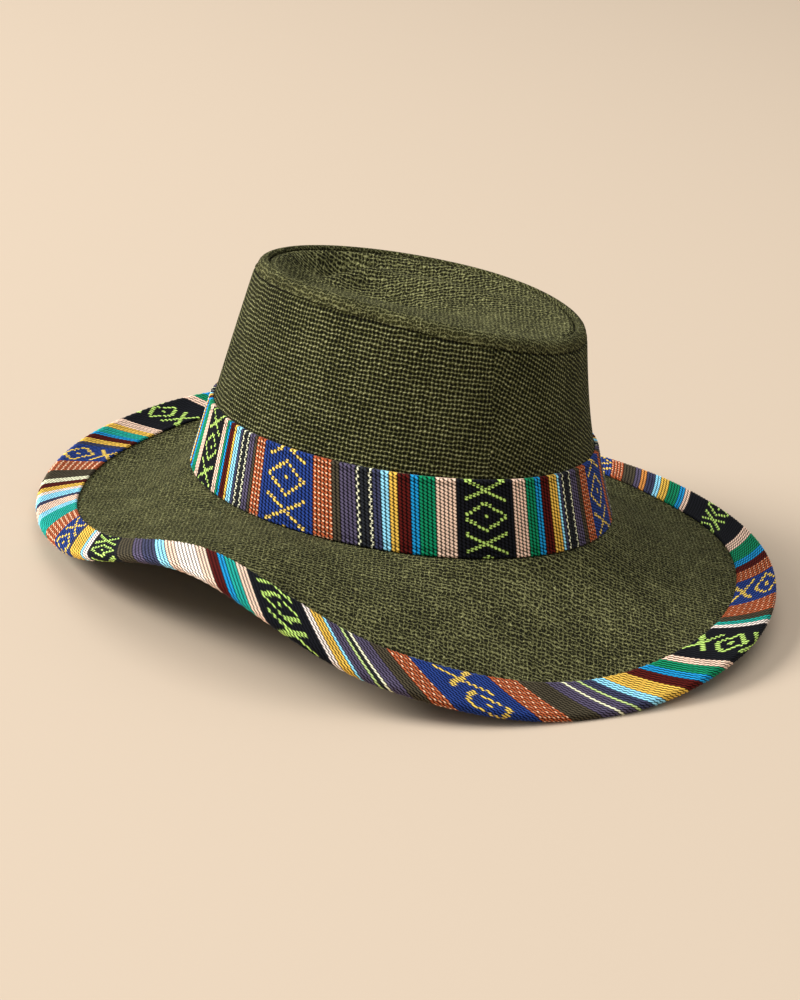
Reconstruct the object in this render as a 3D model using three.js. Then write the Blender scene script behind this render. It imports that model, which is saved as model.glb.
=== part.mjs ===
// A soft cloth sun hat: an oval crown with a pressed top, a patterned band round its foot, and a wavy
// brim whose edge is bound with the same patterned cloth.
// Millimetres and degrees. The hat is shaped in a frame of its own, with the base oval level at height 0,
// the front towards -Y and the wearer's left towards +X. It is then tipped on to the three places where
// its brim rests, with the middle of its outline over the origin and the surface it lies on at height 0.
import * as THREE from "three";

// Driving dimensions of the crown. The base oval runs midway between the crown's wall and the band's face.
const BASE_HALF_WIDTH = 84.6;
const BASE_HALF_LENGTH = 102;
const SHOULDER = 1; // how far the wall rounds in at the rim, over its straight taper
const FOOT_SPREAD = 2.4; // how far the base oval is pushed out near the front, where the crown flares
const WAIST_SHIFT = 1.6; // there the wall leans in by this much more at the rim
const WAIST_DEPTH = 3.4; // and it is this much hollow at half its height
const SPREAD_ANGLE = -25; // where it flares most
const SIDE_THICKNESS = 2;
const RIM_THICKNESS = 5; // the wall rolls over at the rim
const TIP_THICKNESS = 2;
const TIP_DROP = 0.8; // the top panel's edge lies this far under the rim
const TIP_FLAT_SHARE = 0.72; // the pressed part ends at this share of the way out to the rim
const BAND_HEIGHT = 34.5; // along the slope of the wall
const BAND_THICKNESS = 1.5;
const BAND_FOOT = 0.5; // the band's lower edge stands this far over the base oval

// Driving dimensions of the brim and its binding.
const BRIM_WIDTH = 80.6; // from the base oval to the edge, along the cloth
const BRIM_FRONT_EXTRA = 5.9; // the front is this much wider, and the back this much narrower
const BRIM_THICKNESS = 1.6;
const BRIM_EASE = 3.6; // the brim turns out of the level into its slope over this width
const BINDING_WIDTH = 18.8; // on the upper side, from the edge inwards
const BINDING_LOWER_WIDTH = 16;
const BINDING_THICKNESS = 1;
const GAP = 0.3; // between pieces that are sewn together

// How the hat lies: turned about Y, then about X, and sunk a little where its cloth flattens.
const REST_TURN_Y = 3.07;
const REST_TURN_X = -3.61;
const FLATTENED = 0.8;

// Angles round the hat start at the front and go by the wearer's right side.
// The crown: its height over the base oval, how far its wall leans in, and how deep its top is pressed.
const CROWN_TABLE = [
  { angle: 0, height: 89.4, taper: 11.7, pressed: 2 },
  { angle: 90, height: 101.8, taper: 10.6, pressed: 6 },
  { angle: 180, height: 100.2, taper: 13.5, pressed: 12 },
  { angle: 270, height: 94.6, taper: 10.6, pressed: 7 },
];

// The brim: its slope where it leaves the crown and at its edge, upwards positive.
const BRIM_TABLE = [
  { angle: 0, rootSlope: -33, edgeSlope: -9 },
  { angle: 30, rootSlope: -33.5, edgeSlope: -25.5 },
  { angle: 60, rootSlope: -10.5, edgeSlope: -27 },
  { angle: 90, rootSlope: 17, edgeSlope: -9 },
  { angle: 120, rootSlope: -7.5, edgeSlope: -16 },
  { angle: 150, rootSlope: -45, edgeSlope: 18 },
  { angle: 180, rootSlope: -52, edgeSlope: 33 },
  { angle: 210, rootSlope: -34.5, edgeSlope: 25.5 },
  { angle: 240, rootSlope: -26, edgeSlope: 8 },
  { angle: 270, rootSlope: -31.5, edgeSlope: 5 },
  { angle: 300, rootSlope: -42, edgeSlope: 18 },
  { angle: 330, rootSlope: -32.5, edgeSlope: 5 },
];

// The soft hollows (positive) and ridges (negative) pressed into the top, each a smooth oval mound.
const DENTS = [
  { x: -12, y: 8, halfLength: 28, halfWidth: 15, turn: 0, depth: 7.5 },
  { x: 18, y: 40, halfLength: 34, halfWidth: 8, turn: -50, depth: -4.5 },
  { x: 24, y: 58, halfLength: 22, halfWidth: 12, turn: -50, depth: 3 },
];

// How finely the surfaces are faceted.
const STEPS_ROUND = 72;
const TURN = Math.PI * 2;
const WALL_SHARES = [0, 0.24, 0.48, 0.68, 0.84, 0.94];
const BRIM_SHARES = [0, 0.05, 0.2, 0.45, 0.72];
const TIP_SHARES = [0.25, 0.5, 0.72, 0.81, 0.91, 1];
const BRIM_SLICES = 40;

const CLOTH = { color: 0x464c28, roughness: 0.95, metalness: 0 };
const PATTERNED = { color: 0x6b5a4c, roughness: 0.9, metalness: 0 };

const radians = THREE.MathUtils.degToRad;
const smooth = (share) => THREE.MathUtils.smoothstep(share, 0, 1);

// The value of a table's column at an angle, on a smooth closed curve through its evenly spaced rows.
function around(table, column, angle) {
  const place = (angle / TURN) * table.length;
  const row = Math.floor(place);
  const value = (step) => table[(row + step + table.length) % table.length][column];
  const share = place - row;
  const leaving = (value(1) - value(-1)) / 2;
  const arriving = (value(2) - value(0)) / 2;
  const start = (1 + 2 * share) * (1 - share) ** 2 * value(0);
  const end = share ** 2 * (3 - 2 * share) * value(1);
  const bends = share * (1 - share) * ((1 - share) * leaving - share * arriving);
  return start + end + bends;
}

// How much of the flare an angle has, from none to all of it.
function flareAt(angle) {
  return Math.max(Math.cos(angle - radians(SPREAD_ANGLE)), 0) ** 4;
}

// A point at a distance out from the base oval, level and square to it, and a height over it.
function place(angle, outFromOval, up) {
  const out = outFromOval + FOOT_SPREAD * flareAt(angle);
  const normalX = -Math.sin(angle) / BASE_HALF_WIDTH;
  const normalY = -Math.cos(angle) / BASE_HALF_LENGTH;
  const size = Math.hypot(normalX, normalY);
  return [
    -BASE_HALF_WIDTH * Math.sin(angle) + (out * normalX) / size,
    -BASE_HALF_LENGTH * Math.cos(angle) + (out * normalY) / size,
    up,
  ];
}

// How far the crown's wall lies out from the base oval at a height: a straight taper, a rounded shoulder,
// and where it flares a hollow that is deepest at half the height.
function wallOut(angle, up) {
  const risen = Math.max(up, 0);
  const lean = risen * Math.tan(radians(around(CROWN_TABLE, "taper", angle)));
  const share = risen / around(CROWN_TABLE, "height", angle);
  const waist = WAIST_SHIFT * share + WAIST_DEPTH * 4 * share * (1 - share);
  return -lean - SHOULDER * share ** 4 - waist * flareAt(angle);
}

// The brim keeps its edge where the base oval is pushed out.
function brimWidth(angle) {
  return BRIM_WIDTH + BRIM_FRONT_EXTRA * Math.cos(angle) - FOOT_SPREAD * flareAt(angle);
}

const WALL_FACE = -(BAND_THICKNESS + GAP) / 2;
const BAND_FACE = WALL_FACE + GAP + BAND_THICKNESS;
const BRIM_START = WALL_FACE + GAP;

// The brim's upper surface is a curve of fixed length, whose slope changes evenly from root to edge.
// brimPoint follows it to a distance in from the edge, and then goes square to it by a height.
function brimPoint(angle, fromEdge, height) {
  const width = brimWidth(angle);
  const root = radians(around(BRIM_TABLE, "rootSlope", angle));
  const edge = radians(around(BRIM_TABLE, "edgeSlope", angle));
  const end = width - fromEdge;
  const slopeAt = (along) =>
    (root + ((edge - root) * along) / width) * smooth((along - BRIM_START) / BRIM_EASE);
  const slice = (end - BRIM_START) / BRIM_SLICES;
  let out = BRIM_START;
  let up = 0;
  for (let i = 0; i < BRIM_SLICES; i += 1) {
    const slope = slopeAt(BRIM_START + (i + 0.5) * slice);
    out += Math.cos(slope) * slice;
    up += Math.sin(slope) * slice;
  }
  const slope = slopeAt(end);
  return [Math.max(out - height * Math.sin(slope), BRIM_START), up + height * Math.cos(slope)];
}

// The face of a plane that the hat rests on, in the hat's own frame.
const toRest = new THREE.Euler(radians(REST_TURN_X), radians(REST_TURN_Y), 0, "XYZ");
const restUp = new THREE.Vector3(0, 0, 1).applyQuaternion(
  new THREE.Quaternion().setFromEuler(toRest).invert(),
);

// The outline of each piece's wall at an angle, as points out from the base oval and up, in order round it.
function crownSideOutline(angle) {
  const height = around(CROWN_TABLE, "height", angle);
  const outer = WALL_SHARES.map((share) => {
    const up = -BRIM_THICKNESS + share * (height + BRIM_THICKNESS);
    return [wallOut(angle, up) + WALL_FACE, up];
  });
  const inner = outer.map(([out, up], i) => {
    const thick = THREE.MathUtils.lerp(SIDE_THICKNESS, RIM_THICKNESS, WALL_SHARES[i] ** 8);
    return [out - thick, up];
  });
  const rim = wallOut(angle, height) + WALL_FACE;
  const fold = [
    [rim - 0.3, height - 3.8],
    [rim - 1.6, height - 1.4],
    [rim - 3.6, height - 0.1],
    [rim - RIM_THICKNESS, height - 1.3],
  ];
  return [...outer, ...fold, ...inner.reverse()];
}

function hatBandOutline(angle) {
  const top = BAND_HEIGHT * Math.cos(radians(around(CROWN_TABLE, "taper", angle)));
  const ups = [BAND_FOOT, (BAND_FOOT + top) / 2, top];
  const outer = ups.map((up) => [wallOut(angle, up) + BAND_FACE, up]);
  const inner = ups.map((up) => [wallOut(angle, up) + BAND_FACE - BAND_THICKNESS, up]);
  return [...outer, ...inner.reverse()];
}

const EDGE_MIDDLE = BRIM_THICKNESS / 2 + GAP + BINDING_THICKNESS; // from the edge in to the edge roll's middle

// Places along the cloth, as distances in from the edge. A lip of the binding and the brim under it share
// them, so that their facets stay the same distance apart.
const lipStops = (lip) => [lip, lip / 2, EDGE_MIDDLE];

function brimOutline(angle) {
  const run = brimWidth(angle) - BRIM_START;
  const face = (lip, height) => {
    const bare = BRIM_SHARES.map((share) => run - share * (run - lip));
    return [...bare, ...lipStops(lip)].map((from) => brimPoint(angle, from, height));
  };
  const lower = face(BINDING_LOWER_WIDTH, -BRIM_THICKNESS);
  const upper = face(BINDING_WIDTH, 0);
  const tip = brimPoint(angle, EDGE_MIDDLE - BRIM_THICKNESS / 2, -BRIM_THICKNESS / 2);
  return [...lower, tip, ...upper.reverse()];
}

// The binding is folded round the brim's edge: an upper lip, a half round and a lower lip.
function bindingOutline(angle) {
  const layer = (radius, shift) => {
    const face = (lip, height) =>
      lipStops(lip).map((from) => brimPoint(angle, from, height));
    const roll = [45, 0, -45].map((turn) => {
      const from = EDGE_MIDDLE - radius * Math.cos(radians(turn));
      return brimPoint(angle, from, radius * Math.sin(radians(turn)) - BRIM_THICKNESS / 2);
    });
    const lower = face(BINDING_LOWER_WIDTH, -BRIM_THICKNESS - shift);
    return [...face(BINDING_WIDTH, shift), ...roll, ...lower.reverse()];
  };
  const inside = layer(BRIM_THICKNESS / 2 + GAP, GAP);
  const outside = layer(EDGE_MIDDLE, GAP + BINDING_THICKNESS);
  return [...inside, ...outside.reverse()];
}

// A closed ring: an outline with the same number of points at every angle, carried round the base oval.
function ringGeometry(outline) {
  const positions = [];
  for (let i = 0; i < STEPS_ROUND; i += 1) {
    const angle = (i / STEPS_ROUND) * TURN;
    for (const [out, up] of outline(angle)) {
      positions.push(...place(angle, out, up));
    }
  }
  const count = positions.length / 3 / STEPS_ROUND;
  const indices = [];
  for (let i = 0; i < STEPS_ROUND; i += 1) {
    const here = i * count;
    const next = ((i + 1) % STEPS_ROUND) * count;
    for (let j = 0; j < count; j += 1) {
      const after = (j + 1) % count;
      indices.push(here + j, next + after, next + j, here + j, here + after, next + after);
    }
  }
  return solid(positions, indices);
}

// The top panel: rings at shares of the way out to its edge, on its upper and lower faces, and two poles.
function crownTipGeometry() {
  const positions = [];
  for (const drop of [0, TIP_THICKNESS]) {
    for (const share of TIP_SHARES) {
      for (let i = 0; i < STEPS_ROUND; i += 1) {
        positions.push(...tipPoint((i / STEPS_ROUND) * TURN, share, drop));
      }
    }
  }
  const rings = TIP_SHARES.length;
  const bottomStart = rings * STEPS_ROUND;
  const topPole = positions.length / 3;
  positions.push(...tipPoint(0, 0, 0));
  positions.push(...tipPoint(0, 0, TIP_THICKNESS));
  const indices = [];
  for (let i = 0; i < STEPS_ROUND; i += 1) {
    const next = (i + 1) % STEPS_ROUND;
    for (let ring = 0; ring < rings - 1; ring += 1) {
      const inner = ring * STEPS_ROUND;
      const outer = inner + STEPS_ROUND;
      indices.push(inner + i, outer + next, outer + i, inner + i, inner + next, outer + next);
      const low = bottomStart + inner;
      const lowOuter = bottomStart + outer;
      indices.push(low + i, lowOuter + i, lowOuter + next, low + i, lowOuter + next, low + next);
    }
    const rim = (rings - 1) * STEPS_ROUND;
    const lowRim = bottomStart + rim;
    indices.push(rim + i, rim + next, lowRim + next, rim + i, lowRim + next, lowRim + i);
    indices.push(topPole, next, i, topPole + 1, bottomStart + i, bottomStart + next);
  }
  return solid(positions, indices);
}

// The panel's edge lies just inside the folded rim. Its middle is pressed down inside the rim, and the soft
// hollows and ridges are smooth mounds on it that fade out before the edge.
const middleOf = (column) => CROWN_TABLE.reduce((sum, row) => sum + row[column], 0) / CROWN_TABLE.length;

function tipPoint(angle, share, drop) {
  const height = around(CROWN_TABLE, "height", angle);
  const edgeOut = wallOut(angle, height) + WALL_FACE - RIM_THICKNESS - GAP;
  const [edgeX, edgeY] = place(angle, edgeOut, 0);
  const x = edgeX * share;
  const y = edgeY * share;
  const blend = (column) =>
    THREE.MathUtils.lerp(middleOf(column), around(CROWN_TABLE, column, angle), share);
  const sunk = 1 - smooth((share - TIP_FLAT_SHARE) / (1 - TIP_FLAT_SHARE));
  let depth = blend("pressed");
  for (const dent of DENTS) {
    const turn = radians(dent.turn);
    const along = (y - dent.y) * Math.cos(turn) - (x - dent.x) * Math.sin(turn);
    const across = (x - dent.x) * Math.cos(turn) + (y - dent.y) * Math.sin(turn);
    depth += dent.depth * Math.exp(-((along / dent.halfLength) ** 2) - (across / dent.halfWidth) ** 2);
  }
  return [x, y, blend("height") - TIP_DROP - depth * sunk - drop];
}

function solid(positions, indices) {
  const geometry = new THREE.BufferGeometry();
  geometry.setAttribute("position", new THREE.Float32BufferAttribute(positions, 3));
  geometry.setIndex(indices);
  geometry.computeVertexNormals();
  return geometry;
}

// Cloth that reaches under the surface that the hat lies on is pressed flat against it.
function flatten(geometry, lift) {
  const points = geometry.getAttribute("position");
  const point = new THREE.Vector3();
  for (let i = 0; i < points.count; i += 1) {
    point.fromBufferAttribute(points, i);
    const height = restUp.dot(point) + lift;
    if (height < 0) {
      point.addScaledVector(restUp, -height);
      points.setXYZ(i, point.x, point.y, point.z);
    }
  }
  geometry.computeVertexNormals();
}

function named(name, geometry, finish) {
  const mesh = new THREE.Mesh(geometry, new THREE.MeshStandardMaterial(finish));
  mesh.name = name;
  return mesh;
}

const pieces = [
  named("crown_tip", crownTipGeometry(), CLOTH),
  named("crown_side", ringGeometry(crownSideOutline), CLOTH),
  named("hat_band", ringGeometry(hatBandOutline), PATTERNED),
  named("brim", ringGeometry(brimOutline), CLOTH),
  named("brim_binding", ringGeometry(bindingOutline), PATTERNED),
];

const hat = new THREE.Group();
hat.add(...pieces);
hat.rotation.copy(toRest);
hat.updateMatrixWorld(true);
const lowest = new THREE.Box3().setFromObject(hat, true).min.z;
for (const piece of pieces) {
  flatten(piece.geometry, -lowest - FLATTENED);
}
const box = new THREE.Box3().setFromObject(hat, true);
const middle = box.getCenter(new THREE.Vector3());
hat.position.set(-middle.x, -middle.y, -box.min.z);

const part = new THREE.Group();
part.add(hat);

export default part;
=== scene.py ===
"""The looks of a soft cloth sun hat: coarse olive hemp cloth, with a band and a brim binding of striped
hand-loomed cloth.

Sizes are in millimetres and angles in degrees, in the hat's own frame: the base oval is level at height 0,
the front is towards -Y, and angles start at the front and go round by the wearer's right side. The last
step turns and moves every piece to where the hat rests in the row's frame, in metres.
"""

import math

import bpy
import numpy as np
from mathutils import Matrix, Vector


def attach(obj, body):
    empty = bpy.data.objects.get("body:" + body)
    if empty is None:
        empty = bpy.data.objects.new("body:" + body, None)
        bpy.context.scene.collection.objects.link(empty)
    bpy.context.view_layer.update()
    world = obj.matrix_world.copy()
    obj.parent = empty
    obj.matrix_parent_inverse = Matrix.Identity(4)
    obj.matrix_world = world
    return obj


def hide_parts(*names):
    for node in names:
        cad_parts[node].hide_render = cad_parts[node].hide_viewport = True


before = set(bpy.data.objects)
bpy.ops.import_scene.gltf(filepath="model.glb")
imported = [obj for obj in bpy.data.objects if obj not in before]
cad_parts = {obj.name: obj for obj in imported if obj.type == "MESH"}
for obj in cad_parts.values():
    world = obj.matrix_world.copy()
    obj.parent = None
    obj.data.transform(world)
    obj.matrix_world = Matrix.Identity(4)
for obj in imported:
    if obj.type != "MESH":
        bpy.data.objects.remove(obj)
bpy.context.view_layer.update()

MM = 0.001
TURN = 2 * math.pi
RING_COLUMNS = 900  # places round the hat where the olive cloth has points

# The crown.
BASE_HALF_WIDTH = 84.6
BASE_HALF_LENGTH = 102
SHOULDER = 1
FOOT_SPREAD = 2.4  # the base oval is pushed out near the front, where the crown flares
WAIST_SHIFT = 1.6
WAIST_DEPTH = 3.4
SPREAD_ANGLE = -25
WALL_FACE = -0.9
SIDE_THICKNESS = 2
RIM_THICKNESS = 5
TIP_DROP = 0.8
TIP_FLAT_SHARE = 0.72
STITCH_DROP = 5.2  # the topstitch runs this far below the rim
GROOVE_DROP = 0.9  # the middle of its groove, below that
GROOVE_DEPTH = 0.7
SEAM_DIP = 1.8  # how far the top's edge dips into the seam at the rim
TIP_REACH = 60  # about how far the top's edge is from its middle
TIP_DEPTH = 2.6  # from the top's upper face to its lower one
BAND_HEIGHT = 34.5
BAND_THICKNESS = 1.5
BAND_FACE = 0.9
BAND_FOOT = 0.5

# The brim and its binding.
BRIM_WIDTH = 80.6
BRIM_FRONT_EXTRA = 5.9
BRIM_THICKNESS = 1.6
BRIM_START = -0.6
BRIM_EASE = 3.6
BINDING_WIDTH = 18.8
BINDING_LOWER_WIDTH = 16
BINDING_THICKNESS = 1
GAP = 0.3
EDGE_MIDDLE = BRIM_THICKNESS / 2 + GAP + BINDING_THICKNESS

# How the hat lies, and where its own frame's origin is in the row's frame.
REST_TURN_X = -3.61
REST_TURN_Y = 3.07
REST_PLACE = (1.574, 7.34, 28.578)

# The crown at four angles: its height, how many degrees its wall leans in, and how deep its top is pressed.
CROWN_TABLE = [
    {"angle": 0, "height": 89.4, "taper": 11.7, "pressed": 2},
    {"angle": 90, "height": 101.8, "taper": 10.6, "pressed": 6},
    {"angle": 180, "height": 100.2, "taper": 13.5, "pressed": 12},
    {"angle": 270, "height": 94.6, "taper": 10.6, "pressed": 7},
]
# The brim's slope in degrees where it leaves the crown and at its edge, upwards being positive.
BRIM_TABLE = [
    {"angle": 0, "root": -33, "edge": -9},
    {"angle": 30, "root": -33.5, "edge": -25.5},
    {"angle": 60, "root": -10.5, "edge": -27},
    {"angle": 90, "root": 17, "edge": -9},
    {"angle": 120, "root": -7.5, "edge": -16},
    {"angle": 150, "root": -45, "edge": 18},
    {"angle": 180, "root": -52, "edge": 33},
    {"angle": 210, "root": -34.5, "edge": 25.5},
    {"angle": 240, "root": -26, "edge": 8},
    {"angle": 270, "root": -31.5, "edge": 5},
    {"angle": 300, "root": -42, "edge": 18},
    {"angle": 330, "root": -32.5, "edge": 5},
]
# The soft hollows (positive) and ridges (negative) pressed into the top, each a smooth oval mound.
DENTS = [
    {"x": 6, "y": 12, "half_length": 26, "half_width": 12, "turn": 0, "depth": 8},
    {"x": 32, "y": 2, "half_length": 40, "half_width": 8, "turn": 8, "depth": -5.5},
    {"x": 16, "y": 44, "half_length": 20, "half_width": 6, "turn": 60, "depth": -5.5},
    {"x": 24, "y": 58, "half_length": 22, "half_width": 9, "turn": 60, "depth": 10},
]


def smooth(share):
    """An even step from 0 to 1, level at both ends: 3 x squared less 2 x cubed."""
    share = np.clip(share, 0, 1)
    return share**2 * (3 - 2 * share)


def around(table, column, angle):
    """A smooth closed curve through the evenly spaced rows of a table: cubic pieces whose slope at each row
    is half the step from the row before it to the row after it."""
    values = np.array([row[column] for row in table], float)
    count = len(values)
    position = np.asarray(angle, float) / TURN * count
    row = np.floor(position).astype(int)
    share = position - row
    before, start, end, after = (values[(row + step) % count] for step in (-1, 0, 1, 2))
    leaving = (end - before) / 2
    arriving = (after - start) / 2
    ends = (1 + 2 * share) * (1 - share) ** 2 * start + share**2 * (3 - 2 * share) * end
    return ends + share * (1 - share) * ((1 - share) * leaving - share * arriving)


def flare_at(angle):
    """How much of the flare an angle has: the fourth power of the cosine, from none to all of it."""
    return np.maximum(np.cos(angle - math.radians(SPREAD_ANGLE)), 0) ** 4


def place(angle, out, up):
    """The point at distance out from the base oval, level and square to it, and height up."""
    out = out + FOOT_SPREAD * flare_at(angle)
    normal_x = -np.sin(angle) / BASE_HALF_WIDTH
    normal_y = -np.cos(angle) / BASE_HALF_LENGTH
    size = np.hypot(normal_x, normal_y)
    x = -BASE_HALF_WIDTH * np.sin(angle) + out * normal_x / size
    y = -BASE_HALF_LENGTH * np.cos(angle) + out * normal_y / size
    return np.stack(np.broadcast_arrays(x, y, up), axis=-1)


def wall_out(angle, up):
    """How far the crown's wall lies out from the base oval: a straight taper, a rounded shoulder, which
    grows with the fourth power of the height, and where it flares a hollow, deepest at half the height."""
    risen = np.maximum(up, 0)
    lean = risen * np.tan(np.radians(around(CROWN_TABLE, "taper", angle)))
    share = risen / around(CROWN_TABLE, "height", angle)
    waist = WAIST_SHIFT * share + WAIST_DEPTH * 4 * share * (1 - share)
    return -lean - SHOULDER * share**4 - waist * flare_at(angle)


def brim_width(angle):
    """The brim's width along its slope: a wave of one period, less what the flared crown takes of it."""
    return BRIM_WIDTH + BRIM_FRONT_EXTRA * np.cos(angle) - FOOT_SPREAD * flare_at(angle)


def brim_points(angle, from_edge, height):
    """The brim's upper surface, followed to a distance in from the edge and left square to it by a height.
    It is a curve of fixed length whose slope changes evenly from root to edge. The path is summed in even
    slices at each angle, and read between them."""
    slices = 240
    angle, from_edge, height = np.broadcast_arrays(angle, from_edge, height)
    column = angle[:, :1]
    run = brim_width(column) - BRIM_START
    root = np.radians(around(BRIM_TABLE, "root", column))
    edge = np.radians(around(BRIM_TABLE, "edge", column))

    def slope_at(along):
        straight = root + (edge - root) * along / brim_width(column)
        return straight * smooth((along - BRIM_START) / BRIM_EASE)

    middles = BRIM_START + (np.arange(slices) + 0.5) / slices * run
    slopes = slope_at(middles)
    start = np.zeros_like(column)
    outs = np.hstack([start, np.cumsum(np.cos(slopes), axis=1)]) * run / slices + BRIM_START
    ups = np.hstack([start, np.cumsum(np.sin(slopes), axis=1)]) * run / slices
    position = np.clip((run - from_edge) / run * slices, 0, slices - 1e-6)
    index = position.astype(int)
    share = position - index
    rows = np.arange(len(angle))[:, None]
    out = outs[rows, index] * (1 - share) + outs[rows, index + 1] * share
    up = ups[rows, index] * (1 - share) + ups[rows, index + 1] * share
    slope = slope_at(brim_width(column) - from_edge)
    out = np.maximum(out - height * np.sin(slope), BRIM_START)
    return place(angle, out, up + height * np.cos(slope))


# Turning the hat to how it rests.
turn_x = Matrix.Rotation(math.radians(REST_TURN_X), 3, "X")
turn_y = Matrix.Rotation(math.radians(REST_TURN_Y), 3, "Y")
to_rest = turn_x @ turn_y


def at_rest(points):
    """Points of the hat's own frame in millimetres, as the row's frame in metres. What would be under the
    floor is pressed flat on it."""
    placed = (points @ np.array(to_rest).T + np.array(REST_PLACE)) * MM
    placed[:, 2] = np.maximum(placed[:, 2], 0)
    return placed


def linear(hex_colour):
    """An sRGB hex colour as linear red, green, blue and alpha."""
    parts = [int(hex_colour[i : i + 2], 16) / 255 for i in (1, 3, 5)]
    return [c / 12.92 if c <= 0.04045 else ((c + 0.055) / 1.055) ** 2.4 for c in parts] + [1.0]


def build(
    name, points, faces, cad_node, materials, uv=None, corner_colour=None, marks=None, second=None
):
    """Makes one piece from whole arrays: its points, its faces of four or three corners, and what its
    materials read, hangs it under the root and hides the CAD node that it stands for. marks are named
    values of the points, and second says of each face whether it wears the second material."""
    mesh = bpy.data.meshes.new(name)
    mesh.from_pydata(at_rest(points).tolist(), [], faces)
    mesh.polygons.foreach_set("use_smooth", np.ones(len(faces), bool))
    if uv is not None:
        layer = mesh.uv_layers.new(name="Cloth")
        layer.data.foreach_set("uv", (uv * MM).astype(np.float32).ravel())
    if corner_colour is not None:
        layer = mesh.attributes.new("Thread", "FLOAT_COLOR", "CORNER")
        layer.data.foreach_set("color", corner_colour.astype(np.float32).ravel())
    for mark, values in (marks or {}).items():
        layer = mesh.attributes.new(mark, "FLOAT", "POINT")
        layer.data.foreach_set("value", values.astype(np.float32).ravel())
    for material in materials:
        mesh.materials.append(material)
    if second is not None:
        mesh.polygons.foreach_set("material_index", second.astype(np.int32).ravel())
    mesh.update()
    piece = bpy.data.objects.new(name, mesh)
    bpy.context.scene.collection.objects.link(piece)
    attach(piece, "root")
    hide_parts(cad_node)
    return piece


def length_round(points):
    """How long a closed line of points is."""
    return np.linalg.norm(points - np.roll(points, 1, axis=0), axis=-1).sum()


def ring_faces(around_count, section_count):
    """Faces of a closed ring whose points are numbered section by section round the hat: each face joins
    two neighbours of one section to the same two of the next."""
    i = np.arange(around_count)[:, None]
    j = np.arange(section_count)[None, :]
    here = i * section_count
    following = (i + 1) % around_count * section_count
    j_after = (j + 1) % section_count
    quads = np.stack(
        np.broadcast_arrays(here + j, here + j_after, following + j_after, following + j), axis=-1
    )
    return quads.reshape(-1, 4)


def ring_corners(grid):
    """Values given on a ring's grid, one row and one column longer than its points, at its faces' corners."""
    return np.stack([grid[:-1, :-1], grid[:-1, 1:], grid[1:, 1:], grid[1:, :-1]], axis=2)


def unevenness(angle, along, size, seed):
    """A soft, closed, low ripple: a few waves round the hat, each drifting slowly along the cloth."""
    waves = np.random.default_rng(seed).uniform(0, TURN, (6, 2))
    total = np.zeros(np.broadcast(angle, along).shape)
    for count, (phase, drift) in zip((3, 5, 8, 13, 19, 29), waves):
        total = total + np.sin(count * angle + phase + along / 18 * np.cos(drift)) / count**0.7
    return total * size


def node(tree, kind, settings=None, links=None):
    """Adds one node. Settings are its own properties and its sockets' values, links its sockets' sources."""
    made = tree.nodes.new(kind)
    for key, value in (settings or {}).items():
        if isinstance(key, int) or key in made.inputs:
            made.inputs[key].default_value = value
        else:
            setattr(made, key, value)
    for key, source in (links or {}).items():
        tree.links.new(source, made.inputs[key])
    return made


def new_material(name):
    """An empty material that is made of nodes, and its tree."""
    material = bpy.data.materials.new(name)
    material.use_nodes = True
    tree = material.node_tree
    tree.nodes.clear()
    return material, tree


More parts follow.
